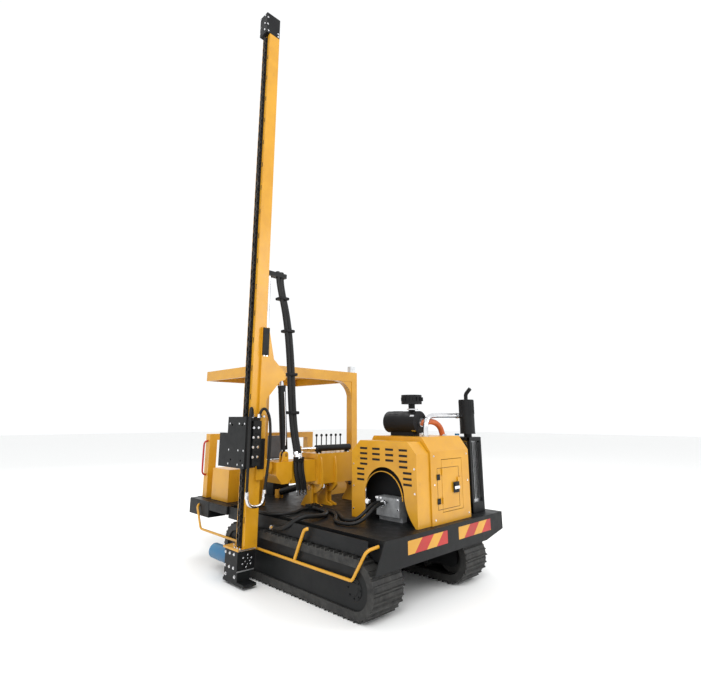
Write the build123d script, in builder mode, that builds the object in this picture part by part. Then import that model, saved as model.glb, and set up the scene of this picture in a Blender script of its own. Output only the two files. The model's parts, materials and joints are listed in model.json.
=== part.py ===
from build123d import *
import math
import os

# Crawler pile driver with a side mast, in millimetres.
# +X is forward (operator end), +Y is the mast side, +Z is up, z = 0 is the ground.

# ---------------------------------------------------------------- driving dimensions
deck_rear_x = -2007
deck_front_x = 1697
deck_mid_y = -244
deck_width = 2184
deck_top_z = 707
deck_plate_t = 10
side_skirt_t = 12
rim_depth = 60

track_rear_x = -2005
track_length = 2650
track_height = 560
shoe_width = 420
shoe_pitch = 135
link_depth = 70
grouser_height = 26
left_track_y = 775
right_track_y = -733

hood_wall = 4
hood_rear_x = -1912
hood_front_x = -931
hood_left_y = 225
hood_step_y = 0
hood_right_y = -764

fold_axis_x = -103
fold_axis_z = 940
beam_mid_z = 1170
sleeve_depth = 340
sleeve_height = 380
sleeve_wall = 12
inner_depth = 250
inner_height = 270
tilt_axis_y = 940
tilt_axis_z = 1250

mast_mid_x = -103
mast_depth = 180
mast_inner_y = 1041
mast_width = 170
mast_wall = 10
mast_foot_z = 30
mast_flange_z = 385
mast_top_z = 7385

carriage_mid_z = 1530
canopy_rear_x = 377
canopy_front_x = 2007
canopy_width = 1852
canopy_top_z = 2570
canopy_rim = 150

pin_gap = 0.3
slide_gap = 5

deck_left_y = deck_mid_y + deck_width / 2
deck_right_y = deck_mid_y - deck_width / 2
mast_rear_x = mast_mid_x - mast_depth / 2
mast_front_x = mast_mid_x + mast_depth / 2
mast_outer_y = mast_inner_y + mast_width

os.makedirs("parts", exist_ok=True)


def save(builder, node):
    builder.part.label = node
    export_step(builder.part, f"parts/{node}.step")


def box_between(x0, x1, y0, y1, z0, z1, mode=Mode.ADD):
    """A block given by its corners, for plates and blocks that stand square."""
    with Locations(((x0 + x1) / 2, (y0 + y1) / 2, (z0 + z1) / 2)):
        Box(x1 - x0, y1 - y0, z1 - z0, mode=mode)


# ---------------------------------------------------------------- tracks
track_radius = track_height / 2
track_mid_x = track_rear_x + track_length / 2
wheel_spacing = track_length - track_height
loop_radius = track_radius - grouser_height


def loop_point(distance, out=0.0):
    """Point on the track's pitch loop after a distance along it, moved outward by out."""
    half_turn = math.pi * loop_radius
    lap = 2 * wheel_spacing + 2 * half_turn
    s = distance % lap
    radius = loop_radius + out
    if s < wheel_spacing:
        return (track_mid_x - wheel_spacing / 2 + s, track_radius + radius)
    s -= wheel_spacing
    if s < half_turn:
        a = math.pi / 2 - s / loop_radius
        return (
            track_mid_x + wheel_spacing / 2 + radius * math.cos(a),
            track_radius + radius * math.sin(a),
        )
    s -= half_turn
    if s < wheel_spacing:
        return (track_mid_x + wheel_spacing / 2 - s, track_radius - radius)
    s -= wheel_spacing
    a = -math.pi / 2 - s / loop_radius
    return (
        track_mid_x - wheel_spacing / 2 + radius * math.cos(a),
        track_radius + radius * math.sin(a),
    )


loop_length = 2 * wheel_spacing + 2 * math.pi * loop_radius
shoe_count = round(loop_length / shoe_pitch)
true_pitch = loop_length / shoe_count
# one shoe, as (share of the pitch, share of the grouser's height)
shoe_outline = (
    (0.02, 0.0),
    (0.05, 1.0),
    (0.11, 1.0),
    (0.16, 0.25),
    (0.44, 0.25),
    (0.47, 0.8),
    (0.53, 0.8),
    (0.56, 0.25),
    (0.86, 0.25),
    (0.90, 0.0),
)
track_outline = [
    loop_point((k + share) * true_pitch, height * grouser_height)
    for k in range(shoe_count)
    for share, height in shoe_outline
]

for side, mid_y in (("left", left_track_y), ("right", right_track_y)):
    with BuildPart() as track:
        with BuildSketch(Plane.XZ.offset(-mid_y)):
            with BuildLine():
                Polyline(track_outline, close=True)
            make_face()
            with Locations((track_mid_x, track_radius)):
                SlotCenterToCenter(wheel_spacing, 2 * (loop_radius - link_depth), mode=Mode.SUBTRACT)
        extrude(amount=shoe_width / 2, both=True)
    save(track, f"{side}_track")

# track frames: a box beam between the wheels, with its outer face a little inside the shoes
wheel_radius = loop_radius - link_depth - 8
frame_rear_x = track_mid_x - wheel_spacing / 2
frame_front_x = track_mid_x + wheel_spacing / 2
frame_width = shoe_width - 60
roller_radius = 60
roller_z = track_radius - loop_radius + link_depth + roller_radius + 2
frame_low_z = roller_z + roller_radius * 0.35
frame_high_z = track_radius + 130
roller_count = 5

axle_radius = 45
side_plate_t = 30
roller_span = wheel_spacing - 2 * wheel_radius
wheel_centres = ((frame_rear_x, track_radius), (frame_front_x, track_radius))

for side, mid_y in (("left", left_track_y), ("right", right_track_y)):
    with BuildPart() as track_frame:
        with BuildSketch(Plane.XZ.offset(-mid_y)):
            with Locations((track_mid_x, (frame_low_z + frame_high_z) / 2)):
                RectangleRounded(wheel_spacing + 240, frame_high_z - frame_low_z, 90)
        extrude(amount=frame_width / 2, both=True)
        with BuildSketch(Plane.XZ.offset(-mid_y)):
            with Locations(*wheel_centres):
                Circle(wheel_radius + 8)
            with Locations((track_mid_x, roller_z)):
                with GridLocations(roller_span / roller_count, 1, roller_count, 1):
                    Circle(roller_radius + 8)
        extrude(amount=frame_width / 2 - side_plate_t, both=True, mode=Mode.SUBTRACT)
    save(track_frame, f"{side}_track_frame")

    with BuildPart() as wheels:
        with BuildSketch(Plane.XZ.offset(-mid_y)):
            with Locations(*wheel_centres):
                Circle(wheel_radius)
            with Locations((track_mid_x, roller_z)):
                with GridLocations(roller_span / roller_count, 1, roller_count, 1):
                    Circle(roller_radius)
        extrude(amount=frame_width / 2 - side_plate_t - 20, both=True)
        with BuildSketch(Plane.XZ.offset(-mid_y)):
            with Locations(*wheel_centres):
                Circle(axle_radius)
            with Locations((track_mid_x, roller_z)):
                with GridLocations(roller_span / roller_count, 1, roller_count, 1):
                    Circle(roller_radius / 3)
        extrude(amount=frame_width / 2 - side_plate_t, both=True)
    save(wheels, f"{side}_track_wheels")

with BuildPart() as undercarriage:
    cross_low_z = track_radius - 60
    inner_left = left_track_y - frame_width / 2
    inner_right = right_track_y + frame_width / 2
    for x in (track_mid_x - 500, track_mid_x + 500):
        box_between(x - 110, x + 110, inner_right, inner_left, cross_low_z, cross_low_z + 150)
    box_between(
        track_mid_x - 610, track_mid_x + 610, -300, 350, cross_low_z, deck_top_z - rim_depth
    )
save(undercarriage, "undercarriage_frame")

# ---------------------------------------------------------------- deck
with BuildPart() as deck:
    box_between(
        deck_rear_x, deck_front_x, deck_right_y, deck_left_y, deck_top_z - rim_depth, deck_top_z
    )
    box_between(
        deck_rear_x + 10, deck_front_x - 10, deck_right_y + 10, deck_left_y - 10,
        deck_top_z - rim_depth - 1, deck_top_z - deck_plate_t, mode=Mode.SUBTRACT,
    )
    for x in (-1500, -900, -300, 300, 900):
        box_between(
            x - 40, x + 40, deck_right_y + 5, deck_left_y - 5, deck_top_z - rim_depth,
            deck_top_z - deck_plate_t / 2,
        )
    # rear plate: its foot follows the tracks' outer edges, past the deck on the mast side
    with BuildSketch(Plane.YZ.offset(deck_rear_x)):
        with BuildLine():
            Polyline(
                (deck_left_y, deck_top_z),
                (left_track_y + shoe_width / 2, 438),
                (right_track_y - shoe_width / 2, 438),
                (deck_right_y, 512),
                (deck_right_y, deck_top_z),
                close=True,
            )
        make_face()
    extrude(amount=10)
    # left skirt with its arched opening over the track
    with BuildSketch(Plane.XZ.offset(-deck_left_y)):
        with BuildLine():
            Polyline(
                (deck_rear_x, deck_top_z),
                (deck_rear_x, 520),
                (deck_rear_x + 140, 520),
            )
            ThreePointArc(
                (deck_rear_x + 140, 520),
                (deck_rear_x + 260, 600),
                (deck_rear_x + 520, 640),
            )
            Polyline(
                (deck_rear_x + 520, 640),
                (deck_rear_x + 520, deck_top_z),
                (deck_rear_x, deck_top_z),
            )
        make_face()
    extrude(amount=side_skirt_t)
save(deck, "deck")

# ---------------------------------------------------------------- side guard tube
guard_y = 1003
guard_z = 352
guard_radius = 15
with BuildPart() as side_guard:
    with BuildLine() as guard_path:
        FilletPolyline(
            (deck_rear_x + 60, deck_left_y + 22, 662),
            (deck_rear_x + 90, guard_y, 640),
            (deck_rear_x + 280, guard_y, guard_z),
            (1250, guard_y, guard_z),
            (1400, guard_y, 640),
            (1420, deck_left_y + 22, 662),
            radius=60,
        )
    with BuildSketch(Plane(origin=guard_path.line @ 0, z_dir=guard_path.line % 0)):
        Circle(guard_radius)
    sweep(path=guard_path.line, transition=Transition.ROUND)
save(side_guard, "side_guard")

# ---------------------------------------------------------------- engine hood
arch_x = -1443
arch_radius = 290
with BuildPart() as hood_left:
    with BuildSketch(Plane.XZ.offset(-hood_step_y)):
        with BuildLine():
            Polyline(
                (hood_rear_x, deck_top_z),
                (hood_rear_x, 1450),
                (hood_rear_x + 115, 1576),
                (hood_front_x - 140, 1576),
                (hood_front_x, 1450),
                (hood_front_x, deck_top_z),
                close=True,
            )
        make_face()
    extrude(amount=-(hood_left_y - hood_step_y))
    offset(amount=-hood_wall, openings=hood_left.faces().sort_by(Axis.Z)[:1] + hood_left.faces().sort_by(Axis.Y)[:1])
    with BuildSketch(Plane.XZ.offset(-hood_left_y)):
        with BuildLine():
            Line((arch_x + arch_radius, deck_top_z), (arch_x + arch_radius, 1002))
            ThreePointArc(
                (arch_x + arch_radius, 1002), (arch_x, 1292), (arch_x - arch_radius, 1002)
            )
            ThreePointArc(
                (arch_x - arch_radius, 1002),
                (arch_x - arch_radius - 50, 840),
                (hood_rear_x + 30, deck_top_z),
            )
            Line((hood_rear_x + 30, deck_top_z), (arch_x + arch_radius, deck_top_z))
        make_face()
    extrude(amount=30, mode=Mode.SUBTRACT)
save(hood_left, "hood_left")

with BuildPart() as hood_main:
    with BuildSketch(Plane.XZ.offset(-hood_right_y)):
        with BuildLine():
            Polyline(
                (hood_rear_x - 17, deck_top_z),
                (hood_rear_x - 17, 1468),
                (hood_rear_x + 99, 1624),
                (hood_front_x - 61 - 90, 1624),
                (hood_front_x - 61, 1500),
                (hood_front_x - 61, deck_top_z),
                close=True,
            )
        make_face()
    extrude(amount=-(hood_step_y - 6 - hood_right_y))
    offset(amount=-hood_wall, openings=hood_main.faces().sort_by(Axis.Z)[:1])
    box_between(
        hood_rear_x - 60, hood_rear_x + 20, hood_right_y + 150, hood_right_y + 560, 820, 1380,
        mode=Mode.SUBTRACT,
    )
save(hood_main, "hood_main")

with BuildPart() as hood_door:
    door_x = hood_rear_x - 17
    box_between(door_x, door_x + hood_wall, hood_right_y + 156, hood_right_y + 554, 826, 1374)
    box_between(door_x - 14, door_x, hood_right_y + 190, hood_right_y + 260, 1080, 1170)
    for z in (910, 1210):
        with BuildSketch(Plane.XY.offset(z)):
            with Locations((door_x - 8, hood_right_y + 558)):
                Circle(8)
        extrude(amount=70)
save(hood_door, "hood_door")

with BuildPart() as engine:
    box_between(-1780, -1090, -560, -140, deck_top_z + 60, 1480)
    box_between(-1700, -1170, -500, -200, deck_top_z, deck_top_z + 60)
save(engine, "engine_block")

with BuildPart() as pump:
    box_between(-1600, -1260, 10, 150, 760, 960)
    box_between(-1600, -1260, 20, 100, deck_top_z, 760)
save(pump, "hydraulic_pump")

with BuildPart() as cooler:
    box_between(-1813, -1063, -1174, -964, 830, 1600)
    box_between(-1850, -1030, -1200, -940, deck_top_z, 830)
save(cooler, "cooler")

with BuildPart() as air_filter:
    with BuildSketch(Plane.YZ.offset(-1620)):
        with Locations((-244, 1787)):
            Circle(130)
    extrude(amount=480)
    box_between(-1560, -1200, -300, -188, 1624, 1700)
    with BuildSketch(Plane.XY.offset(1880)):
        with Locations((-1500, -244)):
            Circle(40)
    extrude(amount=150)
    with BuildSketch(Plane.XY.offset(2000)):
        with Locations((-1500, -244)):
            Circle(125)
    extrude(amount=110)
save(air_filter, "air_filter")

muffler_x = -1763
muffler_y = -1050
with BuildPart() as muffler:
    with BuildSketch(Plane.XY.offset(1640)):
        with Locations((muffler_x, muffler_y)):
            Circle(95)
    extrude(amount=430)
    with BuildSketch(Plane.XY.offset(1600)):
        with Locations((muffler_x, muffler_y)):
            Circle(50)
    extrude(amount=60)
    with BuildLine() as tail_path:
        FilletPolyline(
            (muffler_x, muffler_y, 2060),
            (muffler_x, muffler_y, 2140),
            (muffler_x - 70, muffler_y, 2210),
            radius=60,
        )
    with BuildSketch(Plane(origin=tail_path.line @ 0, z_dir=tail_path.line % 0)):
        Circle(25)
    sweep(path=tail_path.line)
save(muffler, "muffler")

with BuildPart() as exhaust_pipe:
    with BuildLine() as exhaust_path:
        FilletPolyline(
            (-1170, -850, 1500),
            (-1170, -850, 1850),
            (-1400, -900, 1850),
            (muffler_x + 97, muffler_y + 40, 1850),
            radius=80,
        )
    with BuildSketch(Plane(origin=exhaust_path.line @ 0, z_dir=exhaust_path.line % 0)):
        Circle(27)
    sweep(path=exhaust_path.line)
save(exhaust_pipe, "exhaust_pipe")

# ---------------------------------------------------------------- canopy
canopy_mid_y = deck_mid_y
canopy_left_y = canopy_mid_y + canopy_width / 2
canopy_right_y = canopy_mid_y - canopy_width / 2
with BuildPart() as canopy:
    box_between(
        canopy_rear_x, canopy_front_x, canopy_right_y, canopy_left_y, canopy_top_z - canopy_rim,
        canopy_top_z,
    )
    box_between(
        canopy_rear_x + 40, canopy_front_x - 40, canopy_right_y + 40, canopy_left_y - 40,
        canopy_top_z - canopy_rim, canopy_top_z - 25, mode=Mode.SUBTRACT,
    )
save(canopy, "canopy_roof")

for side, y in (("right", canopy_right_y + 60), ("left", canopy_left_y - 60)):
    with BuildPart() as canopy_post:
        box_between(
            canopy_rear_x, canopy_rear_x + 120, y - 60, y + 60, deck_top_z,
            canopy_top_z - canopy_rim,
        )
    save(canopy_post, f"canopy_post_{side}")

with BuildPart() as canopy_lamp:
    box_between(
        canopy_rear_x + 20, canopy_rear_x + 90, canopy_right_y + 20, canopy_right_y + 130,
        canopy_top_z, canopy_top_z + 100,
    )
save(canopy_lamp, "canopy_lamp")

# ---------------------------------------------------------------- operator station
with BuildPart() as front_guard:
    for y in (-1166, 706):
        box_between(1487, 1607, y, y + 120, deck_top_z, 1600)
    box_between(1487, 1607, -1046, 706, 1510, 1600)
save(front_guard, "front_guard")

with BuildPart() as tool_box:
    box_between(900, 1350, 560, 820, deck_top_z, 1130)
save(tool_box, "tool_box")

with BuildPart() as console:
    box_between(437, 637, -1000, -400, deck_top_z, 1400)
save(console, "control_console")

with BuildPart() as levers:
    for k in range(6):
        x = 537
        y = -950 + 100 * k
        box_between(x - 6, x + 6, y - 6, y + 6, 1400, 1560)
        with Locations((x, y, 1575)):
            Sphere(20)
save(levers, "control_levers")

with BuildPart() as seat_base:
    box_between(1000, 1330, -300, 0, deck_top_z, 1100)
save(seat_base, "seat_base")
with BuildPart() as seat_cushion:
    box_between(950, 1380, -380, 80, 1100, 1190)
save(seat_cushion, "seat_cushion")
with BuildPart() as seat_back:
    box_between(1300, 1390, -380, 80, 1195, 1560)
save(seat_back, "seat_back")

# ---------------------------------------------------------------- beam stand and sleeve
tilt_x = fold_axis_x - 86
sleeve_rear_x = fold_axis_x - sleeve_depth / 2
sleeve_front_x = fold_axis_x + sleeve_depth / 2
sleeve_left_y = 206
sleeve_right_y = -700
sleeve_mid_z = beam_mid_z + 15
sleeve_low_z = sleeve_mid_z - sleeve_height / 2
sleeve_top_z = sleeve_mid_z + sleeve_height / 2
fold_base_x = 760
fold_base_z = 780
fold_eye_x = sleeve_front_x + 130
fold_eye_z = 925
fold_y = 60
rib_t = 30
rib_ys = (150, -100, -600)
pin_radius = 28
boss_radius = 48

with BuildPart() as beam_stand:
    for y in rib_ys:
        for cheek_y in (y - rib_t - slide_gap, y + rib_t + slide_gap):
            with BuildSketch(Plane.XZ.offset(-(cheek_y - rib_t / 2))):
                with BuildLine():
                    Polyline(
                        (fold_axis_x - boss_radius, fold_axis_z),
                        (fold_axis_x - boss_radius, deck_top_z + 45),
                        (fold_axis_x - 150, deck_top_z + 20),
                        (fold_axis_x - 150, deck_top_z),
                        (fold_axis_x + 170, deck_top_z),
                        (fold_axis_x + 170, deck_top_z + 20),
                        (fold_axis_x + boss_radius, fold_axis_z - 60),
                        (fold_axis_x + boss_radius, fold_axis_z),
                    )
                    ThreePointArc(
                        (fold_axis_x + boss_radius, fold_axis_z),
                        (fold_axis_x, fold_axis_z + boss_radius),
                        (fold_axis_x - boss_radius, fold_axis_z),
                    )
                make_face()
            extrude(amount=-rib_t)
        with BuildSketch(Plane.XZ.offset(-(y - rib_t * 1.5 - slide_gap))):
            with Locations((fold_axis_x, fold_axis_z)):
                Circle(pin_radius)
        extrude(amount=-(3 * rib_t + 2 * slide_gap))
save(beam_stand, "beam_stand")

with BuildPart() as sleeve:
    box_between(
        sleeve_rear_x, sleeve_front_x, sleeve_right_y, sleeve_left_y, sleeve_low_z, sleeve_top_z
    )
    for y in rib_ys:
        with BuildSketch(Plane.XZ.offset(-(y - rib_t / 2))):
            with BuildLine():
                Line((sleeve_front_x, sleeve_mid_z), (sleeve_front_x, fold_axis_z + 30))
                ThreePointArc(
                    (sleeve_front_x, fold_axis_z + 30),
                    (fold_axis_x, fold_axis_z - 70),
                    (sleeve_rear_x - 40, fold_axis_z + 30),
                )
                ThreePointArc(
                    (sleeve_rear_x - 40, fold_axis_z + 30),
                    (sleeve_rear_x - 30, sleeve_mid_z),
                    (sleeve_rear_x, sleeve_top_z - 40),
                )
                Line((sleeve_rear_x, sleeve_top_z - 40), (sleeve_front_x, sleeve_mid_z))
            make_face()
        extrude(amount=-rib_t)
        with BuildSketch(Plane.XZ.offset(-(y - rib_t / 2))):
            with Locations((fold_axis_x, fold_axis_z)):
                Circle(pin_radius + pin_gap)
        extrude(amount=-rib_t, mode=Mode.SUBTRACT)
    box_between(
        fold_axis_x - inner_depth / 2 - slide_gap, fold_axis_x + inner_depth / 2 + slide_gap,
        sleeve_right_y, sleeve_left_y,
        beam_mid_z - inner_height / 2 - slide_gap, beam_mid_z + inner_height / 2 + slide_gap,
        mode=Mode.SUBTRACT,
    )
    # lug that the fold cylinder pushes
    for y in (fold_y - 38, fold_y + 38):
        with BuildSketch(Plane.XZ.offset(-(y - 10))):
            with BuildLine():
                Line((sleeve_front_x, sleeve_low_z + 150), (sleeve_front_x, sleeve_low_z))
                Line((sleeve_front_x, sleeve_low_z), (sleeve_front_x - 110, sleeve_low_z))
                Line((sleeve_front_x - 110, sleeve_low_z), (fold_eye_x, fold_eye_z - 40))
                ThreePointArc(
                    (fold_eye_x, fold_eye_z - 40),
                    (fold_eye_x + 40, fold_eye_z),
                    (fold_eye_x, fold_eye_z + 40),
                )
                Line((fold_eye_x, fold_eye_z + 40), (sleeve_front_x, sleeve_low_z + 150))
            make_face()
        extrude(amount=-20)
    for y, reach in ((fold_y - 48, 12), (fold_y + 48, -12)):
        with BuildSketch(Plane.XZ.offset(-y)):
            with Locations((fold_eye_x, fold_eye_z)):
                Circle(24)
        extrude(amount=reach)
save(sleeve, "beam_sleeve")

# slide cylinder: barrel on the sleeve's top, rod to the inner beam's end block
slide_cyl_z = sleeve_top_z + 62
slide_barrel_radius = 42
slide_rod_radius = 22
slide_stroke = 300
with BuildPart() as slide_barrel:
    with BuildSketch(Plane.XZ.offset(-150)):
        with Locations((fold_axis_x - 60, slide_cyl_z)):
            Circle(slide_barrel_radius)
            Circle(slide_rod_radius + pin_gap, mode=Mode.SUBTRACT)
    extrude(amount=620)
    for y in (100, -420):
        box_between(
            fold_axis_x - 90, fold_axis_x - 30, y - 20, y + 20, sleeve_top_z,
            slide_cyl_z - slide_barrel_radius + 4,
        )
save(slide_barrel, "slide_cylinder_barrel")

# inner beam with the knuckle block at the mast end
block_left_y = 856
block_right_y = 616
with BuildPart() as inner_beam:
    box_between(
        fold_axis_x - inner_depth / 2, fold_axis_x + inner_depth / 2, -650, block_right_y,
        beam_mid_z - inner_height / 2, beam_mid_z + inner_height / 2,
    )
    box_between(
        fold_axis_x - inner_depth / 2 + 10, fold_axis_x + inner_depth / 2 - 10, -650,
        block_right_y - 20, beam_mid_z - inner_height / 2 + 10,
        beam_mid_z + inner_height / 2 - 10, mode=Mode.SUBTRACT,
    )
    with BuildSketch(Plane.YZ.offset(fold_axis_x - 160)):
        with BuildLine():
            Polyline(
                (block_right_y, 1305),
                (block_right_y, 1100),
                (block_right_y + 60, 1045),
                (block_left_y - 90, 1045),
                (block_left_y, 1150),
                (block_left_y, 1305),
                close=True,
            )
        make_face()
    extrude(amount=320)
    # knuckle that the mast holder tilts on
    for x in (fold_axis_x - 60, fold_axis_x + 20):
        with BuildSketch(Plane.YZ.offset(x)):
            with BuildLine():
                Line((block_left_y - 20, 1150), (tilt_axis_y, 1190))
                ThreePointArc(
                    (tilt_axis_y, 1190), (tilt_axis_y + 58, tilt_axis_z), (tilt_axis_y, 1310)
                )
                Line((tilt_axis_y, 1310), (block_left_y - 20, 1305))
                Line((block_left_y - 20, 1305), (block_left_y - 20, 1150))
            make_face()
        extrude(amount=40)
    with BuildSketch(Plane.YZ.offset(fold_axis_x - 60)):
        with Locations((tilt_axis_y, tilt_axis_z)):
            Circle(30 + pin_gap)
    extrude(amount=120, mode=Mode.SUBTRACT)
    # lug of the tilt cylinder and lug of the slide cylinder's rod
    for x in (tilt_x - 39, tilt_x + 23):
        with BuildSketch(Plane.YZ.offset(x)):
            with BuildLine():
                Line((650, 1290), (750, 1290))
                Line((750, 1290), (736, 1385))
                ThreePointArc((736, 1385), (696, 1425), (656, 1385))
                Line((656, 1385), (650, 1290))
            make_face()
        extrude(amount=16)
    with BuildSketch(Plane.YZ.offset(tilt_x - 39)):
        with Locations((696, 1385)):
            Circle(15)
    extrude(amount=78)
    box_between(
        fold_axis_x - 90, fold_axis_x - 30, 420, 460, beam_mid_z + inner_height / 2 - 5,
        slide_cyl_z + 40,
    )
save(inner_beam, "inner_beam")

with BuildPart() as slide_rod:
    with BuildSketch(Plane.XZ.offset(-420)):
        with Locations((fold_axis_x - 60, slide_cyl_z)):
            Circle(slide_rod_radius)
    extrude(amount=820)
save(slide_rod, "slide_cylinder_rod")

# fold cylinder, forward of the sleeve
fold_run = math.dist((fold_base_x, fold_base_z), (fold_eye_x, fold_eye_z))
fold_dir = Vector(
    (fold_eye_x - fold_base_x) / fold_run, 0, (fold_eye_z - fold_base_z) / fold_run
)
fold_base = Vector(fold_base_x, fold_y, fold_base_z)
with BuildPart() as fold_bracket:
    for y in (fold_y - 30, fold_y + 30):
        box_between(fold_base_x - 45, fold_base_x + 45, y - 10, y + 10, deck_top_z, fold_base_z + 40)
    with BuildSketch(Plane.XZ.offset(-(fold_y - 40))):
        with Locations((fold_base_x, fold_base_z)):
            Circle(15)
    extrude(amount=-80)
save(fold_bracket, "fold_cylinder_bracket")

with BuildPart() as fold_barrel:
    with BuildSketch(Plane.XZ.offset(-(fold_y - 18))):
        with Locations((fold_base_x, fold_base_z)):
            Circle(38)
    extrude(amount=-36)
    with BuildSketch(Plane(origin=fold_base + fold_dir * 25, z_dir=fold_dir)):
        Circle(17)
    extrude(amount=50)
    with BuildSketch(Plane(origin=fold_base + fold_dir * 68, z_dir=fold_dir)):
        Circle(45)
    extrude(amount=fold_run - 143)
    with BuildSketch(Plane(origin=fold_base + fold_dir * 80, z_dir=fold_dir)):
        Circle(25 + pin_gap)
    extrude(amount=fold_run, mode=Mode.SUBTRACT)
    with BuildSketch(Plane.XZ.offset(-(fold_y - 18))):
        with Locations((fold_base_x, fold_base_z)):
            Circle(15 + pin_gap)
    extrude(amount=-36, mode=Mode.SUBTRACT)
save(fold_barrel, "fold_cylinder_barrel")

with BuildPart() as fold_rod:
    with BuildSketch(Plane(origin=fold_base + fold_dir * 90, z_dir=fold_dir)):
        Circle(25)
    extrude(amount=fold_run - 150)
    with BuildSketch(Plane(origin=fold_base + fold_dir * 200, z_dir=fold_dir)):
        Circle(16)
    extrude(amount=fold_run - 222)
    with BuildSketch(Plane.XZ.offset(-(fold_y - 25))):
        with Locations((fold_eye_x, fold_eye_z)):
            Circle(32)
    extrude(amount=-50)
save(fold_rod, "fold_cylinder_rod")

# ---------------------------------------------------------------- mast holder
holder_rear_x = mast_rear_x - 35
holder_front_x = mast_front_x + 35
holder_web_y = mast_inner_y - 22
holder_low_z = 1120
holder_high_z = 2960
with BuildPart() as mast_holder:
    # channel that embraces the mast's inner half
    box_between(
        holder_rear_x, holder_front_x, holder_web_y, mast_inner_y + 75, holder_low_z,
        holder_high_z,
    )
    box_between(
        mast_rear_x - slide_gap, mast_front_x + slide_gap, mast_inner_y - slide_gap,
        mast_inner_y + 90, holder_low_z - 1, holder_high_z + 1, mode=Mode.SUBTRACT,
    )
    # tilt knuckle
    for x in (fold_axis_x - 105, fold_axis_x + 65):
        with BuildSketch(Plane.YZ.offset(x)):
            with BuildLine():
                Line((holder_web_y + 5, 1130), (tilt_axis_y, 1190))
                ThreePointArc(
                    (tilt_axis_y, 1190), (tilt_axis_y - 60, tilt_axis_z), (tilt_axis_y, 1310)
                )
                Line((tilt_axis_y, 1310), (holder_web_y + 5, 1420))
                Line((holder_web_y + 5, 1420), (holder_web_y + 5, 1130))
            make_face()
        extrude(amount=40)
    with BuildSketch(Plane.YZ.offset(fold_axis_x - 105)):
        with Locations((tilt_axis_y, tilt_axis_z)):
            Circle(30)
    extrude(amount=210)
    # gusset that the tilt cylinder's rod pushes
    for x in (tilt_x - 39, tilt_x + 23):
        with BuildSketch(Plane.YZ.offset(x)):
            with BuildLine():
                Polyline(
                    (holder_web_y + 5, 2050),
                    (holder_web_y + 5, holder_high_z),
                    (930, 2560),
                    (740, 2390),
                    (740, 2310),
                    (820, 2290),
                    close=True,
                )
            make_face()
        extrude(amount=16)
save(mast_holder, "mast_holder")

with BuildPart() as holder_pads:
    for z in (holder_low_z + 120, holder_high_z - 360):
        box_between(
            holder_rear_x - 14, holder_rear_x, holder_web_y + 5, mast_inner_y + 75, z, z + 350
        )
save(holder_pads, "holder_pads")

# tilt cylinder between the knuckle block and the holder's gusset
tilt_foot = Vector(tilt_x, 696, 1385)
tilt_eye = Vector(tilt_x, 776, 2340)
tilt_run = (tilt_eye - tilt_foot).length
tilt_dir = (tilt_eye - tilt_foot).normalized()
with BuildPart() as tilt_barrel:
    with BuildSketch(Plane.YZ.offset(tilt_x - 20)):
        with Locations((tilt_foot.Y, tilt_foot.Z)):
            Circle(34)
            Circle(15 + pin_gap, mode=Mode.SUBTRACT)
    extrude(amount=40)
    with BuildSketch(Plane(origin=tilt_foot + tilt_dir * 22, z_dir=tilt_dir)):
        Circle(18)
    extrude(amount=50)
    with BuildSketch(Plane(origin=tilt_foot + tilt_dir * 62, z_dir=tilt_dir)):
        Circle(48)
    extrude(amount=tilt_run - 162)
    with BuildSketch(Plane(origin=tilt_foot + tilt_dir * 80, z_dir=tilt_dir)):
        Circle(26 + pin_gap)
    extrude(amount=tilt_run, mode=Mode.SUBTRACT)
save(tilt_barrel, "tilt_cylinder_barrel")

with BuildPart() as tilt_rod:
    with BuildSketch(Plane(origin=tilt_foot + tilt_dir * 220, z_dir=tilt_dir)):
        Circle(26)
    extrude(amount=tilt_run - 280)
    with BuildSketch(Plane(origin=tilt_foot + tilt_dir * 300, z_dir=tilt_dir)):
        Circle(18)
    extrude(amount=tilt_run - 322)
    with BuildSketch(Plane.YZ.offset(tilt_x - 20)):
        with Locations((tilt_eye.Y, tilt_eye.Z)):
            Circle(34)
            Circle(16, mode=Mode.SUBTRACT)
    extrude(amount=40)
save(tilt_rod, "tilt_cylinder_rod")

# ---------------------------------------------------------------- mast
with BuildPart() as mast:
    box_between(
        mast_rear_x, mast_front_x, mast_inner_y, mast_outer_y, mast_flange_z, mast_top_z
    )
    box_between(
        mast_rear_x + mast_wall, mast_front_x - mast_wall, mast_inner_y + mast_wall,
        mast_outer_y - mast_wall, mast_flange_z, mast_top_z, mode=Mode.SUBTRACT,
    )
    box_between(
        mast_rear_x, mast_front_x + 150, mast_inner_y, mast_outer_y + 75,
        mast_flange_z - 20, mast_flange_z,
    )
save(mast, "mast")

with BuildPart() as mast_head:
    box_between(
        mast_rear_x, mast_front_x, mast_inner_y, mast_outer_y + 60, mast_top_z, mast_top_z + 340
    )
save(mast_head, "mast_head")

chain_y = mast_outer_y + 22
with BuildPart() as chain:
    box_between(
        mast_mid_x - 22, mast_mid_x + 22, chain_y - 17, chain_y + 17, mast_flange_z, mast_top_z
    )
save(chain, "drive_chain")

with BuildPart() as gearbox:
    box_between(
        mast_rear_x + 10, mast_front_x + 100, mast_inner_y + 15, mast_outer_y + 75, 150,
        mast_flange_z - 20,
    )
save(gearbox, "chain_gearbox")

with BuildPart() as drive_motor:
    with BuildSketch(Plane.YZ.offset(mast_front_x + 100)):
        with Locations((mast_outer_y - 20, 250)):
            Circle(85)
    extrude(amount=400)
save(drive_motor, "drive_motor")

with BuildPart() as foot:
    box_between(
        mast_rear_x - 140, mast_front_x + 120, mast_outer_y - 90, mast_outer_y + 75,
        mast_foot_z, mast_foot_z + 30,
    )
    box_between(
        mast_rear_x, mast_front_x + 100, mast_outer_y - 90, mast_outer_y + 75,
        mast_foot_z + 30, 150,
    )
save(foot, "mast_foot")

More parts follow.
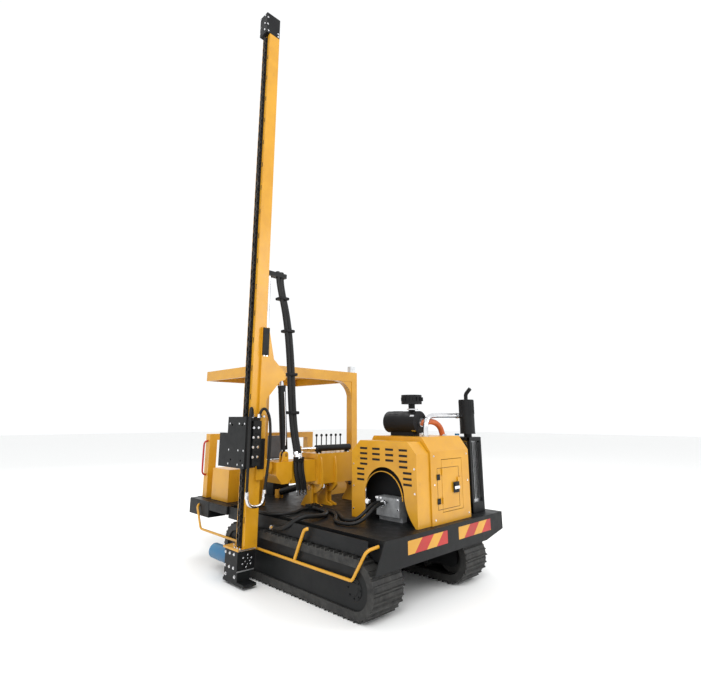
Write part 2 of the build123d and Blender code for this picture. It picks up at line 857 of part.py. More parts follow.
# lift cylinder: barrel inside the holder's web, rod to the bracket on the mast
lift_y = mast_inner_y - 70
lift_x = mast_mid_x + 15
lift_top_z = 3700
with BuildPart() as lift_barrel:
    with BuildSketch(Plane.XY.offset(1600)):
        with Locations((lift_x, lift_y)):
            Circle(45)
            Circle(28 + pin_gap, mode=Mode.SUBTRACT)
    extrude(amount=1380)
    for z in (1700, 2860):
        box_between(lift_x - 40, lift_x + 40, lift_y + 35, holder_web_y, z, z + 60)
    with BuildSketch(Plane.XY.offset(1600)):
        with Locations((lift_x, lift_y)):
            Circle(28 + pin_gap)
    extrude(amount=1380, mode=Mode.SUBTRACT)
save(lift_barrel, "lift_cylinder_barrel")

with BuildPart() as lift_rod:
    with BuildSketch(Plane.XY.offset(1750)):
        with Locations((lift_x, lift_y)):
            Circle(28)
    extrude(amount=lift_top_z - 1750)
save(lift_rod, "lift_cylinder_rod")

with BuildPart() as hose_bracket:
    box_between(
        lift_x - 50, lift_x + 50, lift_y - 260, mast_inner_y, lift_top_z, lift_top_z + 60
    )
    box_between(lift_x - 50, lift_x + 50, mast_inner_y - 20, mast_inner_y, 3640, 4000)
save(hose_bracket, "mast_hose_bracket")

# ---------------------------------------------------------------- carriage
carriage_low_z = 1262
carriage_high_z = 1846
carriage_outer_y = 1336
hammer_bolt_x = 220
hammer_bolt_z = 400
hammer_bolt_radius = 13
with BuildPart() as carriage:
    box_between(
        mast_rear_x - 35, mast_front_x + 35, mast_inner_y + 95, mast_outer_y + 75,
        carriage_low_z, carriage_high_z,
    )
    box_between(
        mast_rear_x - slide_gap, mast_front_x + slide_gap, mast_inner_y + 90,
        mast_outer_y + 50, carriage_low_z - 1, carriage_high_z + 1, mode=Mode.SUBTRACT,
    )
save(carriage, "carriage")

with BuildPart() as carriage_plate:
    box_between(
        mast_rear_x - 105, mast_front_x + 120, carriage_outer_y - 50, carriage_outer_y, 1400,
        carriage_high_z,
    )
    box_between(
        mast_rear_x - 105, mast_front_x + 305, carriage_outer_y - 50, carriage_outer_y,
        carriage_low_z, 1655,
    )
    with Locations(Plane(origin=(mast_mid_x, carriage_outer_y, 1550), x_dir=(1, 0, 0), z_dir=(0, 1, 0))):
        with GridLocations(hammer_bolt_x, hammer_bolt_z, 2, 2):
            Hole(hammer_bolt_radius)
save(carriage_plate, "carriage_plate")

with BuildPart() as carriage_valve:
    box_between(
        mast_rear_x - 135, mast_rear_x - 35, mast_inner_y + 100, mast_outer_y + 40, 1290, 1800
    )
save(carriage_valve, "carriage_valve")
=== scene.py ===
import json
import math

import bmesh
import bpy
from mathutils import Matrix, Vector


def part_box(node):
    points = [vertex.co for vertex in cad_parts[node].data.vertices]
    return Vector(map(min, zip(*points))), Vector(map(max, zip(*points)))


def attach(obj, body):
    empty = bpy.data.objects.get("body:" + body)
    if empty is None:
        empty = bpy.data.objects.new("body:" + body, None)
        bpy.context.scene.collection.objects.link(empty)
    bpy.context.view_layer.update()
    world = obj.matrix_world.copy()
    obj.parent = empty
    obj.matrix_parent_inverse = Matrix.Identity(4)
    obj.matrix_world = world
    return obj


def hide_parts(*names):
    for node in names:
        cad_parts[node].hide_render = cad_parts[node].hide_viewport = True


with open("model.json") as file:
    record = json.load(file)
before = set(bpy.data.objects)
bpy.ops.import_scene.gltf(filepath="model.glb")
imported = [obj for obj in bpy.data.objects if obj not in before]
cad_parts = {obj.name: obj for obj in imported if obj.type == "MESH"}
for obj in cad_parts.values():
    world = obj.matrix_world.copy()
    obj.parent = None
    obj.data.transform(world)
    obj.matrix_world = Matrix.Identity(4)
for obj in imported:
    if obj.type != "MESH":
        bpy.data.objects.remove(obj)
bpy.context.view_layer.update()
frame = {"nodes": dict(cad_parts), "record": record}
MM = 0.001
X = Vector((1, 0, 0))
Y = Vector((0, 1, 0))
Z = Vector((0, 0, 1))


# ---------------------------------------------------------------- camera, floor and lights
CAMERA_PLACE = (-5.182, 4.389, 1.821)
CAMERA_HEADING = math.radians(-44.207)
CAMERA_PITCH = math.radians(13.568)
CAMERA_ROLL = math.radians(0.1)
FLOOR_REACH = 60.0
FLOOR_COLOUR = (0.90, 0.90, 0.89, 1)
STUDIO_COLOUR = (0.98, 0.99, 1.0, 1)
STUDIO_STRENGTH = 1.04
# name, place, aim, diameter, power
LIGHTS = (
    ("key", (-9, 9, 11), (0, 0, 2), 7, 1150),
    ("fill", (-10, -6, 6), (0, 0, 2), 6, 300),
    ("rim", (9, -3, 10), (0, 0, 3), 6, 600),
)


def set_camera():
    data = bpy.data.cameras.new("camera")
    data.sensor_width = 36.0
    data.lens = 24.0
    data.shift_y = -0.0481
    data.clip_end = 200.0
    obj = bpy.data.objects.new("camera", data)
    bpy.context.scene.collection.objects.link(obj)
    look = Vector((
        math.cos(CAMERA_HEADING) * math.cos(CAMERA_PITCH),
        math.sin(CAMERA_HEADING) * math.cos(CAMERA_PITCH),
        math.sin(CAMERA_PITCH),
    ))
    turn = look.to_track_quat("-Z", "Y").to_matrix().to_4x4()
    roll = Matrix.Rotation(CAMERA_ROLL, 4, "Z")
    obj.matrix_world = Matrix.Translation(CAMERA_PLACE) @ turn @ roll
    bpy.context.scene.camera = obj


def set_light(name, place, aim, diameter, power):
    data = bpy.data.lights.new(name, "AREA")
    data.shape = "DISK"
    data.size = diameter
    data.energy = power
    obj = bpy.data.objects.new(name, data)
    bpy.context.scene.collection.objects.link(obj)
    turn = (Vector(aim) - Vector(place)).to_track_quat("-Z", "Y").to_matrix().to_4x4()
    obj.matrix_world = Matrix.Translation(place) @ turn


def set_stage():
    mesh = bpy.data.meshes.new("floor")
    sides = ((-1, -1), (1, -1), (1, 1), (-1, 1))
    mesh.from_pydata([(x * FLOOR_REACH, y * FLOOR_REACH, 0) for x, y in sides], [], [range(4)])
    floor = bpy.data.objects.new("floor", mesh)
    bpy.context.scene.collection.objects.link(floor)
    mat = bpy.data.materials.new("floor")
    mat.use_nodes = True
    shader = mat.node_tree.nodes["Principled BSDF"]
    shader.inputs["Base Color"].default_value = FLOOR_COLOUR
    shader.inputs["Roughness"].default_value = 0.9
    mesh.materials.append(mat)
    world = bpy.data.worlds.new("studio")
    bpy.context.scene.world = world
    world.use_nodes = True
    background = world.node_tree.nodes["Background"]
    background.inputs["Color"].default_value = STUDIO_COLOUR
    background.inputs["Strength"].default_value = STUDIO_STRENGTH


bpy.context.scene.view_settings.view_transform = "Standard"
set_camera()
set_stage()
for light in LIGHTS:
    set_light(*light)


# ---------------------------------------------------------------- materials
MATERIALS = {}


def new_material(name):
    mat = bpy.data.materials.new(name)
    mat.use_nodes = True
    MATERIALS[name] = mat
    return mat.node_tree, mat.node_tree.nodes["Principled BSDF"]


def noise(tree, scale, detail=4.0, rough=0.6):
    coord = tree.nodes.new("ShaderNodeTexCoord")
    tex = tree.nodes.new("ShaderNodeTexNoise")
    tex.inputs["Scale"].default_value = scale
    tex.inputs["Detail"].default_value = detail
    tex.inputs["Roughness"].default_value = rough
    tree.links.new(coord.outputs["Object"], tex.inputs["Vector"])
    return tex.outputs["Fac"]


def ramp(tree, value, start, first, end, last):
    """A change from the first colour to the last one between two values."""
    node = tree.nodes.new("ShaderNodeValToRGB")
    for element, position, colour in zip(node.color_ramp.elements, (start, end), (first, last)):
        element.position = position
        element.color = (*colour, 1)
    tree.links.new(value, node.inputs["Fac"])
    return node.outputs["Color"]


def to_range(tree, value, to_low, to_high, low=0.3, high=0.7):
    node = tree.nodes.new("ShaderNodeMapRange")
    node.inputs["From Min"].default_value = low
    node.inputs["From Max"].default_value = high
    node.inputs["To Min"].default_value = to_low
    node.inputs["To Max"].default_value = to_high
    tree.links.new(value, node.inputs["Value"])
    return node.outputs["Result"]


def bump(tree, shader, value, strength, distance):
    node = tree.nodes.new("ShaderNodeBump")
    node.inputs["Strength"].default_value = strength
    node.inputs["Distance"].default_value = distance
    tree.links.new(value, node.inputs["Height"])
    tree.links.new(node.outputs["Normal"], shader.inputs["Normal"])


def paint(name, light, dark, grime, rough, grime_from=0.62, coat=0.0, gloss=0.5):
    """Sprayed paint with slow shade changes, grime in patches and an orange-peel surface."""
    tree, shader = new_material(name)
    mix = tree.nodes.new("ShaderNodeMix")
    mix.data_type = "RGBA"
    shades = ramp(tree, noise(tree, 3.0), 0.35, dark, 0.65, light)
    patches = noise(tree, 7.0, 8.0, 0.7)
    dirt = ramp(tree, patches, grime_from, (0, 0, 0), grime_from + 0.25, (1, 1, 1))
    mix.inputs["B"].default_value = (*grime, 1)
    tree.links.new(dirt, mix.inputs["Factor"])
    tree.links.new(shades, mix.inputs["A"])
    tree.links.new(mix.outputs["Result"], shader.inputs["Base Color"])
    tree.links.new(to_range(tree, noise(tree, 12.0, 6.0), *rough), shader.inputs["Roughness"])
    shader.inputs["Specular IOR Level"].default_value = gloss
    shader.inputs["Coat Weight"].default_value = coat
    shader.inputs["Coat Roughness"].default_value = 0.12
    bump(tree, shader, noise(tree, 260.0, 2.0), 0.12, 0.001)


def metal(name, light, dark, rough, metallic=1.0, grain=60.0, height=0.0006):
    """Bare or cast metal with cloudy shades and a fine grain."""
    tree, shader = new_material(name)
    shades = ramp(tree, noise(tree, 9.0, 8.0, 0.7), 0.35, dark, 0.65, light)
    tree.links.new(shades, shader.inputs["Base Color"])
    shader.inputs["Metallic"].default_value = metallic
    tree.links.new(to_range(tree, noise(tree, 20.0, 6.0), *rough), shader.inputs["Roughness"])
    bump(tree, shader, noise(tree, grain, 6.0), 0.4, height)


paint(
    "yellow_paint", (0.60, 0.295, 0.010), (0.52, 0.243, 0.007), (0.30, 0.15, 0.025),
    rough=(0.3, 0.45), coat=0.25,
)
paint(
    "black_paint", (0.009, 0.010, 0.010), (0.005, 0.005, 0.006), (0.026, 0.025, 0.022),
    rough=(0.35, 0.55), gloss=0.2,
)
paint(
    "matte_black", (0.010, 0.010, 0.011), (0.006, 0.006, 0.007), (0.03, 0.028, 0.026),
    rough=(0.5, 0.7), gloss=0.22,
)
paint(
    "hose_rubber", (0.011, 0.011, 0.011), (0.007, 0.007, 0.007), (0.03, 0.028, 0.025),
    rough=(0.4, 0.6), gloss=0.25,
)
paint(
    "seat_vinyl", (0.09, 0.09, 0.095), (0.05, 0.05, 0.053), (0.13, 0.12, 0.11),
    rough=(0.45, 0.6),
)
paint(
    "blue_paint", (0.02, 0.16, 0.30), (0.015, 0.10, 0.22), (0.06, 0.06, 0.06),
    rough=(0.3, 0.5), grime_from=0.6,
)
paint(
    "red_paint", (0.45, 0.02, 0.015), (0.33, 0.015, 0.012), (0.1, 0.02, 0.02),
    rough=(0.3, 0.5), grime_from=0.66,
)
paint(
    "orange_hose", (0.55, 0.13, 0.03), (0.42, 0.09, 0.02), (0.2, 0.08, 0.04),
    rough=(0.5, 0.7),
)
# near-black paint; the mast, louvre and cooler slot pieces use it as painted shade inside openings
paint(
    "dark_slot", (0.006, 0.006, 0.006), (0.004, 0.004, 0.004), (0.02, 0.02, 0.02),
    rough=(0.7, 0.9), grime_from=0.7,
)
metal(
    "track_steel", (0.036, 0.035, 0.032), (0.012, 0.012, 0.012),
    rough=(0.5, 0.8), metallic=0.15, grain=40.0, height=0.002,
)
metal(
    "chain_steel", (0.09, 0.085, 0.08), (0.02, 0.02, 0.02),
    rough=(0.35, 0.6), metallic=0.7,
)
metal(
    "grey_casting", (0.40, 0.41, 0.42), (0.24, 0.25, 0.26),
    rough=(0.45, 0.7), metallic=0.5, grain=120.0, height=0.001,
)
metal("bare_aluminium", (0.70, 0.71, 0.72), (0.5, 0.51, 0.52), rough=(0.3, 0.5))
metal(
    "chrome", (0.86, 0.86, 0.87), (0.7, 0.7, 0.72),
    rough=(0.06, 0.2), grain=200.0, height=0.0001,
)
metal(
    "lamp_lens", (0.80, 0.82, 0.84), (0.66, 0.68, 0.70),
    rough=(0.1, 0.25), metallic=0.6, grain=90.0, height=0.0004,
)

for part in frame["record"]["subparts"]:
    finishes = frame["nodes"][part["node"]].data.materials
    finishes.clear()
    finishes.append(MATERIALS[part["material_slot"]])


# ---------------------------------------------------------------- making pieces
def point(x, y, z):
    """A place or a step given in millimetres."""
    return Vector((x * MM, y * MM, z * MM))


def points(*places):
    return [point(*place) for place in places]


def ride_on(obj, body, finish):
    """Links a piece, gives it its finish and lets it ride on a body of the machine."""
    bpy.context.scene.collection.objects.link(obj)
    obj.data.materials.append(MATERIALS[finish])
    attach(obj, body)
    return obj


def mesh_piece(name, body, finish, build, smooth=False):
    """A mesh piece that a function fills in."""
    mesh = bpy.data.meshes.new(name)
    bm = bmesh.new()
    build(bm)
    bm.to_mesh(mesh)
    bm.free()
    for face in mesh.polygons:
        face.use_smooth = smooth
    return ride_on(bpy.data.objects.new(name, mesh), body, finish)


def tube(name, body, route, radius, finish):
    """A bent tube along a smooth line through given points."""
    curve = bpy.data.curves.new(name, "CURVE")
    curve.dimensions = "3D"
    curve.bevel_depth = radius
    curve.bevel_resolution = 4
    curve.resolution_u = 8
    curve.use_fill_caps = True
    line = curve.splines.new("NURBS")
    line.points.add(len(route) - 1)
    for spot, place in zip(line.points, route):
        spot.co = (*place, 1)
    line.order_u = 3
    line.use_endpoint_u = True
    return ride_on(bpy.data.objects.new(name, curve), body, finish)


def add_block(bm, low, high, bevel=0.0):
    """A block from its lowest to its highest corner, with softened edges."""
    low = Vector(low)
    high = Vector(high)
    place = Matrix.Translation((low + high) / 2) @ Matrix.Diagonal((*(high - low), 1))
    made = bmesh.ops.create_cube(bm, size=1.0, matrix=place)
    if bevel:
        edges = {edge for vert in made["verts"] for edge in vert.link_edges}
        bmesh.ops.bevel(
            bm, geom=list(edges), offset=bevel, segments=2, affect="EDGES", profile=0.5
        )


def add_bar(bm, centre, size, angle, axis):
    """A bar of a given size about its centre, turned about an axis of the machine."""
    turn = Matrix.Rotation(angle, 4, axis)
    place = Matrix.Translation(centre) @ turn @ Matrix.Diagonal((*size, 1))
    bmesh.ops.create_cube(bm, size=1.0, matrix=place)


def add_prism(bm, foot, axis, radius, length, sides=6, top=None):
    """A prism or cone that stands on its foot and points along an axis."""
    axis = Vector(axis).normalized()
    turn = axis.to_track_quat("Z", "Y").to_matrix().to_4x4()
    place = Matrix.Translation(Vector(foot) + axis * length / 2) @ turn
    bmesh.ops.create_cone(
        bm, cap_ends=True, segments=sides, radius1=radius,
        radius2=radius if top is None else top, depth=length, matrix=place,
    )


def add_slab(bm, outline, shift):
    """A flat outline moved along a vector to make a slab."""
    face = bm.faces.new([bm.verts.new(spot) for spot in outline])
    made = bmesh.ops.extrude_face_region(bm, geom=[face])
    moved = [vert for vert in made["geom"] if isinstance(vert, bmesh.types.BMVert)]
    bmesh.ops.translate(bm, verts=moved, vec=shift)
    bmesh.ops.recalc_face_normals(bm, faces=list(bm.faces))


def add_bolt(bm, foot, axis, radius):
    """A hexagon head on a washer, with a raised round top."""
    axis = Vector(axis).normalized()
    washer = radius * 0.25
    head = radius * 0.62
    add_prism(bm, foot, axis, radius * 1.35, washer, 16)
    add_prism(bm, Vector(foot) + axis * washer, axis, radius, head, 6)
    add_prism(bm, Vector(foot) + axis * (washer + head), axis, radius * 0.72, radius * 0.12, 12)


def bolts(name, body, places, axis, radius, finish="chrome"):
    def build(bm):
        for place in places:
            add_bolt(bm, place, axis, radius)

    return mesh_piece(name, body, finish, build)


def angles(count, start=0.0):
    """Angles evenly spaced round a full turn."""
    return [start + 2 * math.pi * k / count for k in range(count)]


def ring(centre, axis, radius, count, start=0.0):
    """Places evenly spaced on a circle about an axis."""
    turn = Vector(axis).to_track_quat("Z", "Y").to_matrix()
    return [
        Vector(centre) + turn @ Vector((radius * math.cos(a), radius * math.sin(a), 0))
        for a in angles(count, start)
    ]


def low_high(node):
    """The lowest and the highest corner of a node of the frame."""
    low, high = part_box(node)
    return Vector(low), Vector(high)


# ---------------------------------------------------------------- places read from the frame
CHAIN_LOW, CHAIN_HIGH = low_high("drive_chain")
MAST_LOW = low_high("mast")[0]
MAST_OUTER_Y = CHAIN_LOW.y - 5 * MM
MAST_FLANGE_Z = CHAIN_LOW.z
MAST_MID_X = (CHAIN_LOW.x + CHAIN_HIGH.x) / 2
DECK_LOW, DECK_HIGH = low_high("deck")
HOOD_LOW, HOOD_HIGH = low_high("hood_left")
REAR_X = low_high("hood_main")[0].x
# pins of the tilt cylinder, at the beam and at the holder
TILT_FOOT = point(-189, 696, 1385)
TILT_EYE = point(-189, 776, 2340)


# ---------------------------------------------------------------- tracks
def dress_tracks():
    """Shoe bolts on the upper runs and hub caps over the wheels."""
    shoe_pitch = 135.4 * MM
    curved_ends = 560 * MM
    first_shoe = 320 * MM
    cap_radius = 105 * MM
    cap_height = 18 * MM
    hub_radius = 60 * MM
    for side, outward in (("left", Y), ("right", -Y)):
        low, high = low_high(f"{side}_track")
        middle_y = (low.y + high.y) / 2
        count = int((high.x - low.x - curved_ends) / shoe_pitch)

        def build_bolts(bm):
            for k in range(count):
                x = low.x + first_shoe + k * shoe_pitch
                shoe = Vector((x, middle_y, high.z - 20 * MM))
                for across in (-150, -90, 90, 150):
                    for along in (-22, 22):
                        add_prism(bm, shoe + point(along, across, 0), Z, 9 * MM, 8 * MM)

        mesh_piece(f"{side}_shoe_bolts", "chassis", "track_steel", build_bolts)

        frame_low, frame_high = low_high(f"{side}_track_frame")
        wheel_low, wheel_high = low_high(f"{side}_track_wheels")
        face_y = frame_high.y if side == "left" else frame_low.y
        axle_z = (wheel_low.z + wheel_high.z) / 2
        reach = (wheel_high.z - wheel_low.z) / 2

        def build_caps(bm):
            for x in (wheel_low.x + reach, wheel_high.x - reach):
                centre = Vector((x, face_y, axle_z))
                top = centre + outward * cap_height
                add_prism(bm, centre, outward, cap_radius, cap_height, 32, cap_radius - 7 * MM)
                add_prism(bm, top, outward, hub_radius, 6 * MM, 24, hub_radius - 5 * MM)
                for place in ring(top, outward, 80 * MM, 8):
                    add_bolt(bm, place, outward, 8 * MM)

        mesh_piece(f"{side}_hub_caps", "chassis", "black_paint", build_caps)


# ---------------------------------------------------------------- chain and mast
def dress_chain():
    """A roller chain of plates and pins in the place of the plain chain."""
    pitch = 63.5 * MM
    plate_t = 6 * MM
    plate_end = 9 * MM
    roller_inset = 8 * MM
    count = int((CHAIN_HIGH.z - CHAIN_LOW.z) / pitch) - 1
    middle_y = (CHAIN_LOW.y + CHAIN_HIGH.y) / 2
    half_width = (CHAIN_HIGH.x - CHAIN_LOW.x) / 2

    def build(bm):
        for k in range(count):
            z = CHAIN_LOW.z + (k + 0.5) * pitch
            reach = half_width if k % 2 else half_width - plate_t
            for side in (-1, 1):
                x = MAST_MID_X + side * (reach - plate_t / 2)
                add_block(
                    bm, (x - plate_t / 2, CHAIN_LOW.y, z - plate_end),
                    (x + plate_t / 2, CHAIN_HIGH.y, z + pitch + plate_end),
                )
            foot = Vector((MAST_MID_X - half_width, middle_y, z))
            add_prism(bm, foot, X, 9 * MM, 2 * half_width, 10)
            add_prism(bm, foot + X * roller_inset, X, 14 * MM, 2 * (half_width - roller_inset), 12)

    chain = mesh_piece("roller_chain", "mast_body", "chain_steel", build)
    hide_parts("drive_chain")


def dress_mast():
    """Painted shade blocks in the outer face's slots, guide strips beside the chain and the head's
    bolts.
    """
    slot_pitch = 350 * MM
    low_z = CHAIN_LOW.z + 300 * MM
    high_z = CHAIN_HIGH.z - 100 * MM
    count = int((high_z - low_z) / slot_pitch) + 1

    # painted shade: thin near-black blocks on the face where the slots' openings show shade
    def build_slots(bm):
        for k in range(count):
            for across in (62, -62):
                spot = Vector((MAST_MID_X + across * MM, MAST_OUTER_Y, low_z + k * slot_pitch))
                add_block(bm, spot - point(7, 1, 34), spot + point(7, 1.2, 34))

    mesh_piece("mast_slot_shade", "mast_body", "dark_slot", build_slots)

    def build_guides(bm):
        for across in (-34, 34):
            x = MAST_MID_X + across * MM
            add_block(
                bm, (x - 5 * MM, MAST_OUTER_Y, CHAIN_LOW.z),
                (x + 5 * MM, MAST_OUTER_Y + 16 * MM, CHAIN_HIGH.z), 1 * MM,
            )

    mesh_piece("chain_guides", "mast_body", "black_paint", build_guides)

    low, high = low_high("mast_head")
    rear = [
        low + point(0, y, z) for y, z in ((25, 30), (25, 75), (200, 30), (215, 140), (215, 260))
    ]
    bolts("mast_head_bolts", "mast_body", rear, -X, 10 * MM)
    outer = [
        Vector((x, MAST_OUTER_Y + 74 * MM, z))
        for x in (low.x + 30 * MM, high.x - 30 * MM)
        for z in (low.z + 40 * MM, low.z + 150 * MM, high.z - 50 * MM)
    ]
    bolts("mast_head_outer_bolts", "mast_body", outer, Y, 10 * MM)


def dress_foot():
    """Bolts of the chain drive's flanges, and bright strips painted on edges as highlights."""
    low, high = low_high("chain_gearbox")
    foot_low, foot_high = low_high("mast_foot")
    bearing = Vector((MAST_LOW.x - 12 * MM, MAST_OUTER_Y - 40 * MM, 262 * MM))
    hub = bearing - X * 10 * MM
    bolts("bearing_bolts", "mast_body", ring(bearing, -X, 62 * MM, 6, 0.4), -X, 9 * MM)
    bolts("bearing_hub_bolts", "mast_body", ring(hub, -X, 30 * MM, 4), -X, 6 * MM)
    flange = [
        Vector((MAST_LOW.x + x * MM, MAST_OUTER_Y + y * MM, MAST_FLANGE_Z))
        for x, y in ((20, 40), (75, 40), (130, 40), (260, -30), (260, -80), (260, -130))
    ]
    bolts("base_flange_bolts", "mast_body", flange, Z, 13 * MM)
    sides = [
        Vector((low.x + x * MM, high.y, low.z + z * MM)) for x in (70, 160, 250) for z in (40, 180)
    ]
    bolts("gearbox_side_bolts", "mast_body", sides, Y, 12 * MM)
    bolt_z = foot_high.z - 45 * MM
    shoe = [Vector((x, high.y, bolt_z)) for x in (foot_low.x + 190 * MM, foot_high.x - 60 * MM)]
    bolts("foot_bolts", "mast_body", shoe, Y, 13 * MM)

    # painted highlight: thin bare-metal strips along the flange's and the gearbox's lit edges
    def build(bm):
        rear = MAST_LOW.x
        low_y = low.y + 5 * MM
        add_block(
            bm, (rear - 1.5 * MM, low_y, MAST_FLANGE_Z - 18 * MM),
            (rear, high.y, MAST_FLANGE_Z - 2 * MM), 0.4 * MM,
        )
        add_block(
            bm, (rear + 9 * MM, low_y, low.z + 2 * MM), (rear + 10 * MM, high.y, low.z + 16 * MM)
        )

    mesh_piece("flange_edge_highlights", "mast_body", "bare_aluminium", build)


# ---------------------------------------------------------------- carriage
# ends of the carriage's two stiff hoses, at the valve and at the chrome return tube
VALVE_ENDS = points((-292, 1250, 1800), (-292, 1160, 1800))
RETURN_ENDS = points((-330, 1300, 960), (-322, 1060, 960))


def dress_carriage():
    """Bolts of the carriage's plate, ports and ribs of the valve, and the return tube."""
    low, high = low_high("carriage_plate")
    plate = [
        Vector((x, high.y - 8 * MM, z))
        for x in (low.x + 30 * MM, MAST_MID_X - 50 * MM, MAST_MID_X + 160 * MM)
        for z in (low.z + 40 * MM, low.z + 200 * MM, high.z - 80 * MM)
    ]
    bolts("carriage_plate_bolts", "carriage_body", plate, Y, 12 * MM)
    corner = low_high("carriage_valve")[0]

    def build_ports(bm):
        for z in (100, 210, 320, 430):
            for y in (45, 110):
                foot = corner + point(0, y, z)
                add_prism(bm, foot, -X, 15 * MM, 9 * MM, 6)
                add_prism(bm, foot - X * 9 * MM, -X, 11 * MM, 7 * MM, 16)

    mesh_piece("valve_ports", "carriage_body", "chrome", build_ports)

    def build_ribs(bm):
        for z in (57, 157, 257, 357):
            add_block(bm, corner + point(-10, 8, z), corner + point(0, 75, z + 12), 2 * MM)

    mesh_piece("valve_ribs", "carriage_body", "black_paint", build_ribs)

    def build_ferrules(bm):
        for end in RETURN_ENDS:
            add_prism(bm, end - Z * 18 * MM, Z, 24 * MM, 36 * MM, 6)
            add_prism(bm, end + Z * 18 * MM, Z, 21 * MM, 40 * MM, 20, 19 * MM)
        for end in VALVE_ENDS:
            add_prism(bm, end + Z * 34 * MM, Z, 21 * MM, 44 * MM, 20, 18.5 * MM)

    mesh_piece("hose_ferrules", "carriage_body", "chrome", build_ferrules)
    bend = points(
        (-330, 1287, 893), (-330, 1241, 854), (-328, 1180, 846), (-325, 1111, 854),
        (-323, 1071, 892),
    )
    route = [RETURN_ENDS[0], *bend, RETURN_ENDS[1]]
    tube("return_tube_finish", "carriage_body", route, 19 * MM, "chrome")


# ---------------------------------------------------------------- hood, door and engine
def dress_hood():
    """Fasteners, a rim round the arch, and the seam, latch and hinge leaves of the door."""
    side = [
        Vector((x, HOOD_HIGH.y, z * MM))
        for x, heights in (
            (HOOD_LOW.x + 30 * MM, (1050, 1300)), (HOOD_HIGH.x - 30 * MM, (800, 1050, 1300))
        )
        for z in heights
    ]
    bolts("hood_side_bolts", "chassis", side, Y, 8 * MM)
    rear = Vector((REAR_X, 0, 0))
    corners = [rear + point(0, y, z) for y in (-65, -720) for z in (760, 1120, 1420)]
    bolts("hood_rear_bolts", "chassis", corners, -X, 8 * MM)

    def build_arch(bm):
        centre = Vector((-1428 * MM, HOOD_HIGH.y, 960 * MM))
        radius = 285 * MM
        steps = 28
        for k in range(steps):
            a = math.pi * (k + 0.5) / steps
            spot = centre + Vector((math.cos(a), 0, math.sin(a))) * radius
            add_bar(bm, spot, point(34, 10, 8), math.pi / 2 - a, "Y")

    mesh_piece("arch_edge", "chassis", "yellow_paint", build_arch)

    def build_seam(bm):
        for low_y, high_y, low_z, high_z in (
            (-541, -538, 853, 1290), (-122, -119, 853, 1290),
            (-541, -119, 853, 857), (-541, -119, 1286, 1290),
        ):
            add_block(bm, rear + point(-1.5, low_y, low_z), rear + point(3, high_y, high_z))

    mesh_piece("door_seal", "chassis", "dark_slot", build_seam)

    def build_latch(bm):
        add_block(bm, rear + point(-16, -525, 1007), rear + point(-13, -409, 1123), 1 * MM)
        add_prism(bm, rear + point(-14, -440, 1095), -X, 13 * MM, 12 * MM, 20)

    mesh_piece("latch_plate", "door", "black_paint", build_latch)

    def build_pull(bm):
        add_block(bm, rear + point(-30, -517, 1046), rear + point(-24, -417, 1079), 2 * MM)
        add_prism(bm, rear + point(-24, -440, 1062), -X, 9 * MM, 8 * MM, 16)

    mesh_piece("latch_pull", "door", "chrome", build_pull)

    def build_hinges(bm):
        for z in (943, 1195):
            add_block(bm, rear + point(-7, -165, z - 30), rear + point(-4.5, -104, z + 30), 1 * MM)
            for y in (-150, -132):
                for dz in (-18, 18):
                    add_prism(bm, rear + point(-7, y, z + dz), -X, 5 * MM, 3 * MM, 12)

    mesh_piece("door_hinge_leaves", "door", "black_paint", build_hinges)


def add_ribs(bm, centre, axis, radius, size, turns):
    """Bars of one size round the X or the Z axis, one at each angle."""
    for a in turns:
        across, up = math.cos(a), math.sin(a)
        out = Vector((0, across, up)) if axis == "X" else Vector((across, up, 0))
        add_bar(bm, centre + out * radius, size, a, axis)


def dress_engine():
    """Ribs, clips and clamps of the air filter and the silencer, pump fittings, coolant cap."""
    filter_y = -244
    filter_z = 1787
    cap_x = -1508
    rim = 126 * MM

    def build_filter_ribs(bm):
        centre = point(-1280, filter_y, filter_z)
        add_ribs(bm, centre, "X", 127 * MM, point(150, 10, 6), angles(24))
        centre = point(cap_x, filter_y, 2059)
        add_ribs(bm, centre, "Z", rim, point(20, 6, 46), angles(16))

    mesh_piece("filter_ribs", "chassis", "matte_black", build_filter_ribs)

    def build_clips(bm):
        centre = point(-1585, filter_y, filter_z)
        add_ribs(bm, centre, "X", rim, point(60, 12, 22), (0.6, 2.2, 3.8, 5.4))
        add_prism(bm, point(cap_x, filter_y, 1932), Z, 71 * MM, 12 * MM, 40)

    mesh_piece("filter_clips", "chassis", "chrome", build_clips)

    def build_silencer_ribs(bm):
        axis = point(-1763, -1050, 0)
        add_ribs(bm, axis + Z * 1978 * MM, "Z", 92 * MM, point(12, 12, 165), angles(22))
        for z in (1640, 1885):
            add_prism(bm, axis + Z * z * MM, Z, 98 * MM, 10 * MM, 40)

    mesh_piece("silencer_ribs", "chassis", "matte_black", build_silencer_ribs)

    def build_clamps(bm):
        add_prism(bm, point(-1341, -576, 1624), Z, 42 * MM, 20 * MM, 32)
        add_prism(bm, point(-1341, -576, 1690), Z, 32 * MM, 16 * MM, 32)
        add_prism(bm, point(-1622, -270, 1795), -X, 41 * MM, 20 * MM, 32)
        add_prism(bm, point(-1690, -272, 1799), -X, 40 * MM, 10 * MM, 32)

    mesh_piece("pipe_clamps", "chassis", "bare_aluminium", build_clamps)

    def build_ports(bm):
        for x, z in ((-1427, 909), (-1185, 903)):
            add_prism(bm, point(x, 205, z), Y, 33 * MM, 18 * MM, 6)
            add_prism(bm, point(x, 223, z), Y, 27 * MM, 12 * MM, 24)

    mesh_piece("pump_port_nuts", "chassis", "chrome", build_ports)
    low, high = low_high("hydraulic_pump")
    face = [
        Vector((x, high.y, z * MM))
        for x in (low.x + 20 * MM, high.x - 20 * MM, high.x - 70 * MM, high.x)
        for z in (845, 945)
    ]
    bolts("pump_bolts", "chassis", face, Y, 10 * MM)

    def build_cap(bm):
        add_prism(bm, point(-1640, -990, 1619), Z, 30 * MM, 22 * MM, 24, 27 * MM)

    mesh_piece("coolant_cap", "chassis", "blue_paint", build_cap)


